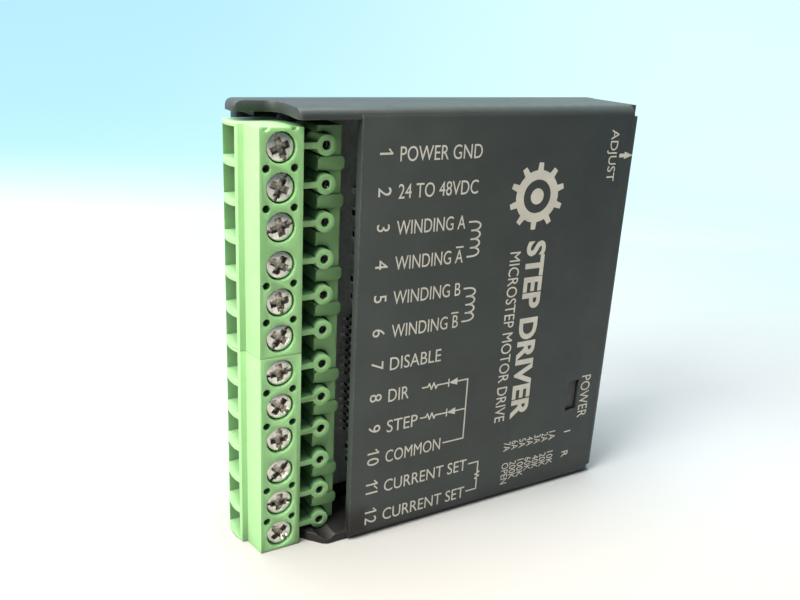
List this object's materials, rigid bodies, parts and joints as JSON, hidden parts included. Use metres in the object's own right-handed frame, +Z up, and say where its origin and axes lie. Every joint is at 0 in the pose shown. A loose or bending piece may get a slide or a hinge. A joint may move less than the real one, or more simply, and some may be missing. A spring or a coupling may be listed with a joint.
{
  "type": "stepper motor driver module",
  "caption": "Boxed stepper driver module with black metal cover, heat-sink base and pull-off green screw terminals along one edge",
  "frame": {"origin": "bottom centre of the bounding box, on the lower long edge that the module stands on", "axes": "+Z up along the row of terminals, -Y out of the label face, +Y out of the mounting face, -X towards the terminals"},
  "size_m": [0.0632, 0.021, 0.0635],
  "materials": {
    "cover_paint": "black paint with a fine satin grain, off-white printed legends",
    "base_metal": "black anodised",
    "terminal_plastic": "light green moulded plastic",
    "plated_steel": "nickel plated, a little worn",
    "pin_metal": "tinned brass",
    "board_resin": "dark solder mask",
    "chip_resin": "moulded black resin with tinned leads",
    "trimmer_blue": "blue moulded case",
    "trimmer_white": "white moulded rotor",
    "lamp_lens": "dark smoked lens, unlit",
    "pad_grey": "grey thermal pad",
    "can_sleeve": "dark blue sleeve"
  },
  "bodies": {
    "module": {"front_cover": "cover_paint", "cover_screw_1": "plated_steel", "cover_screw_2": "plated_steel", "heat_sink_base": "base_metal", "circuit_board": "board_resin", "board_screw_1": "plated_steel", "board_screw_2": "plated_steel", "board_screw_3": "plated_steel", "board_screw_4": "plated_steel", "terminal_header": "terminal_plastic", "header_pin_01": "pin_metal", "header_pin_02": "pin_metal", "header_pin_03": "pin_metal", "header_pin_04": "pin_metal", "header_pin_05": "pin_metal", "header_pin_06": "pin_metal", "header_pin_07": "pin_metal", "header_pin_08": "pin_metal", "header_pin_09": "pin_metal", "header_pin_10": "pin_metal", "header_pin_11": "pin_metal", "header_pin_12": "pin_metal", "step_logic_chip": "chip_resin", "input_isolator_chip": "chip_resin", "power_transistor_1": "chip_resin", "power_transistor_2": "chip_resin", "power_transistor_3": "chip_resin", "power_transistor_4": "chip_resin", "insulating_pad": "pad_grey", "bulk_capacitor": "can_sleeve", "trimmer_body": "trimmer_blue", "status_lamp": "lamp_lens"},
    "upper_plug": {"upper_plug_housing": "terminal_plastic"},
    "lower_plug": {"lower_plug_housing": "terminal_plastic"},
    "screw_01": {"terminal_screw_01": "plated_steel"},
    "cage_01": {"clamp_cage_01": "plated_steel"},
    "screw_02": {"terminal_screw_02": "plated_steel"},
    "cage_02": {"clamp_cage_02": "plated_steel"},
    "screw_03": {"terminal_screw_03": "plated_steel"},
    "cage_03": {"clamp_cage_03": "plated_steel"},
    "screw_04": {"terminal_screw_04": "plated_steel"},
    "cage_04": {"clamp_cage_04": "plated_steel"},
    "screw_05": {"terminal_screw_05": "plated_steel"},
    "cage_05": {"clamp_cage_05": "plated_steel"},
    "screw_06": {"terminal_screw_06": "plated_steel"},
    "cage_06": {"clamp_cage_06": "plated_steel"},
    "screw_07": {"terminal_screw_07": "plated_steel"},
    "cage_07": {"clamp_cage_07": "plated_steel"},
    "screw_08": {"terminal_screw_08": "plated_steel"},
    "cage_08": {"clamp_cage_08": "plated_steel"},
    "screw_09": {"terminal_screw_09": "plated_steel"},
    "cage_09": {"clamp_cage_09": "plated_steel"},
    "screw_10": {"terminal_screw_10": "plated_steel"},
    "cage_10": {"clamp_cage_10": "plated_steel"},
    "screw_11": {"terminal_screw_11": "plated_steel"},
    "cage_11": {"clamp_cage_11": "plated_steel"},
    "screw_12": {"terminal_screw_12": "plated_steel"},
    "cage_12": {"clamp_cage_12": "plated_steel"},
    "adjuster": {"trimmer_rotor": "trimmer_white"}
  },
  "joints": [
    {"name": "upper_plug_pull", "type": "slide", "parent": "module", "child": "upper_plug", "axis": [0, -1, 0], "range_m": [0, 0.009]},
    {"name": "lower_plug_pull", "type": "slide", "parent": "module", "child": "lower_plug", "axis": [0, -1, 0], "range_m": [0, 0.009]},
    {"name": "screw_01_turn", "type": "hinge", "parent": "upper_plug", "child": "screw_01", "pos_m": [-0.02675, -0.0063, 0.05842], "axis": [0, 1, 0], "range_deg": [0, 1080]},
    {"name": "cage_01_rise", "type": "slide", "parent": "upper_plug", "child": "cage_01", "axis": [0, -1, 0], "range_m": [0, 0.0015]},
    {"name": "screw_02_turn", "type": "hinge", "parent": "upper_plug", "child": "screw_02", "pos_m": [-0.02675, -0.0063, 0.05334], "axis": [0, 1, 0], "range_deg": [0, 1080]},
    {"name": "cage_02_rise", "type": "slide", "parent": "upper_plug", "child": "cage_02", "axis": [0, -1, 0], "range_m": [0, 0.0015]},
    {"name": "screw_03_turn", "type": "hinge", "parent": "upper_plug", "child": "screw_03", "pos_m": [-0.02675, -0.0063, 0.04826], "axis": [0, 1, 0], "range_deg": [0, 1080]},
    {"name": "cage_03_rise", "type": "slide", "parent": "upper_plug", "child": "cage_03", "axis": [0, -1, 0], "range_m": [0, 0.0015]},
    {"name": "screw_04_turn", "type": "hinge", "parent": "upper_plug", "child": "screw_04", "pos_m": [-0.02675, -0.0063, 0.04318], "axis": [0, 1, 0], "range_deg": [0, 1080]},
    {"name": "cage_04_rise", "type": "slide", "parent": "upper_plug", "child": "cage_04", "axis": [0, -1, 0], "range_m": [0, 0.0015]},
    {"name": "screw_05_turn", "type": "hinge", "parent": "upper_plug", "child": "screw_05", "pos_m": [-0.02675, -0.0063, 0.0381], "axis": [0, 1, 0], "range_deg": [0, 1080]},
    {"name": "cage_05_rise", "type": "slide", "parent": "upper_plug", "child": "cage_05", "axis": [0, -1, 0], "range_m": [0, 0.0015]},
    {"name": "screw_06_turn", "type": "hinge", "parent": "upper_plug", "child": "screw_06", "pos_m": [-0.02675, -0.0063, 0.03302], "axis": [0, 1, 0], "range_deg": [0, 1080]},
    {"name": "cage_06_rise", "type": "slide", "parent": "upper_plug", "child": "cage_06", "axis": [0, -1, 0], "range_m": [0, 0.0015]},
    {"name": "screw_07_turn", "type": "hinge", "parent": "lower_plug", "child": "screw_07", "pos_m": [-0.02675, -0.0063, 0.02794], "axis": [0, 1, 0], "range_deg": [0, 1080]},
    {"name": "cage_07_rise", "type": "slide", "parent": "lower_plug", "child": "cage_07", "axis": [0, -1, 0], "range_m": [0, 0.0015]},
    {"name": "screw_08_turn", "type": "hinge", "parent": "lower_plug", "child": "screw_08", "pos_m": [-0.02675, -0.0063, 0.02286], "axis": [0, 1, 0], "range_deg": [0, 1080]},
    {"name": "cage_08_rise", "type": "slide", "parent": "lower_plug", "child": "cage_08", "axis": [0, -1, 0], "range_m": [0, 0.0015]},
    {"name": "screw_09_turn", "type": "hinge", "parent": "lower_plug", "child": "screw_09", "pos_m": [-0.02675, -0.0063, 0.01778], "axis": [0, 1, 0], "range_deg": [0, 1080]},
    {"name": "cage_09_rise", "type": "slide", "parent": "lower_plug", "child": "cage_09", "axis": [0, -1, 0], "range_m": [0, 0.0015]},
    {"name": "screw_10_turn", "type": "hinge", "parent": "lower_plug", "child": "screw_10", "pos_m": [-0.02675, -0.0063, 0.0127], "axis": [0, 1, 0], "range_deg": [0, 1080]},
    {"name": "cage_10_rise", "type": "slide", "parent": "lower_plug", "child": "cage_10", "axis": [0, -1, 0], "range_m": [0, 0.0015]},
    {"name": "screw_11_turn", "type": "hinge", "parent": "lower_plug", "child": "screw_11", "pos_m": [-0.02675, -0.0063, 0.00762], "axis": [0, 1, 0], "range_deg": [0, 1080]},
    {"name": "cage_11_rise", "type": "slide", "parent": "lower_plug", "child": "cage_11", "axis": [0, -1, 0], "range_m": [0, 0.0015]},
    {"name": "screw_12_turn", "type": "hinge", "parent": "lower_plug", "child": "screw_12", "pos_m": [-0.02675, -0.0063, 0.00254], "axis": [0, 1, 0], "range_deg": [0, 1080]},
    {"name": "cage_12_rise", "type": "slide", "parent": "lower_plug", "child": "cage_12", "axis": [0, -1, 0], "range_m": [0, 0.0015]},
    {"name": "adjuster_turn", "type": "hinge", "parent": "module", "child": "adjuster", "pos_m": [0.02805, -0.0022, 0.0563], "axis": [1, 0, 0], "range_deg": [-135, 135]}
  ],
  "couplings": [
    {"joint": "screw_01_turn", "follows": "cage_01_rise", "rad_per_m": 12566},
    {"joint": "screw_02_turn", "follows": "cage_02_rise", "rad_per_m": 12566},
    {"joint": "screw_03_turn", "follows": "cage_03_rise", "rad_per_m": 12566},
    {"joint": "screw_04_turn", "follows": "cage_04_rise", "rad_per_m": 12566},
    {"joint": "screw_05_turn", "follows": "cage_05_rise", "rad_per_m": 12566},
    {"joint": "screw_06_turn", "follows": "cage_06_rise", "rad_per_m": 12566},
    {"joint": "screw_07_turn", "follows": "cage_07_rise", "rad_per_m": 12566},
    {"joint": "screw_08_turn", "follows": "cage_08_rise", "rad_per_m": 12566},
    {"joint": "screw_09_turn", "follows": "cage_09_rise", "rad_per_m": 12566},
    {"joint": "screw_10_turn", "follows": "cage_10_rise", "rad_per_m": 12566},
    {"joint": "screw_11_turn", "follows": "cage_11_rise", "rad_per_m": 12566},
    {"joint": "screw_12_turn", "follows": "cage_12_rise", "rad_per_m": 12566}
  ]
}
